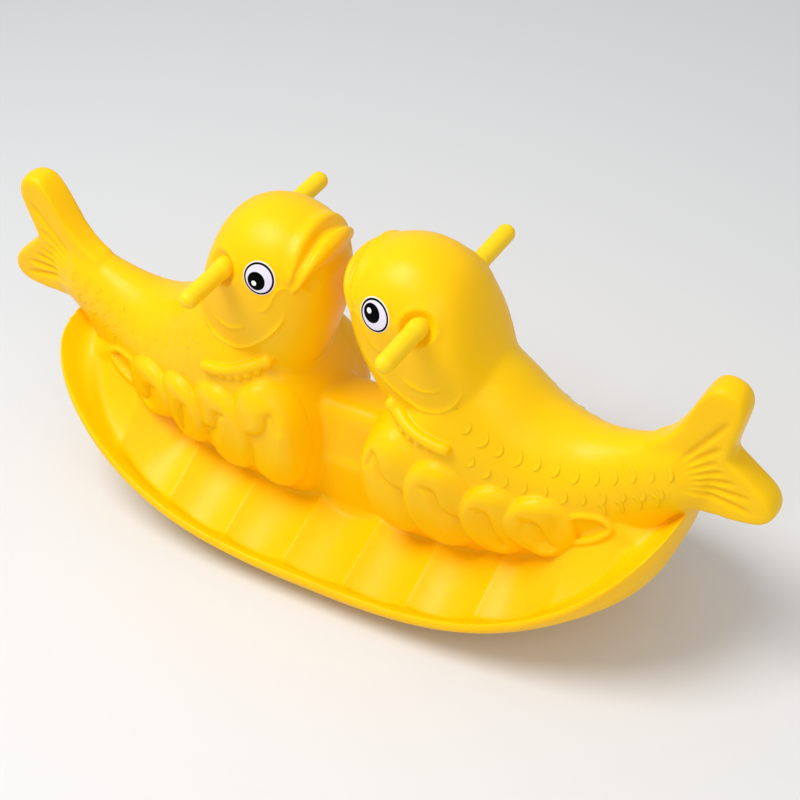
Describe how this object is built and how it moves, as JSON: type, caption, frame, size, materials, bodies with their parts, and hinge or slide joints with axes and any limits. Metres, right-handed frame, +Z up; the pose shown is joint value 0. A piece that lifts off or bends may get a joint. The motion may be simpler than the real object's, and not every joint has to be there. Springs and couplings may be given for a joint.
{
  "type": "double fish seesaw rocker",
  "caption": "Moulded plastic toddler seesaw: two upright fish face each other on a fluted rocker hull, with cross handles through their heads.",
  "frame": {"origin": "centre of the flat landing under the middle of the rocker hull, on the ground", "axes": "+X along the toy from one fish to the other, +Y to the far flank, +Z up"},
  "size_m": [1.0348, 0.326, 0.4561],
  "materials": {
    "yellow_plastic": "satin moulded polyethylene, warm yellow",
    "grip_plastic": "satin, a little lighter yellow",
    "core_steel": "zinc plated tube, hidden in the heads",
    "sticker_vinyl": "glossy printed vinyl, white with a black ring and pupil",
    "plug_rubber": "matt, moulded to match the body"
  },
  "bodies": {
    "root": {"body_shell": "yellow_plastic", "hand_grip_left_near": "grip_plastic", "hand_grip_left_far": "grip_plastic", "hand_grip_right_near": "grip_plastic", "hand_grip_right_far": "grip_plastic", "handle_core_left": "core_steel", "handle_core_right": "core_steel", "eye_sticker_left_near": "sticker_vinyl", "eye_sticker_left_far": "sticker_vinyl", "eye_sticker_right_near": "sticker_vinyl", "eye_sticker_right_far": "sticker_vinyl", "vent_plug": "plug_rubber"}
  },
  "joints": []
}
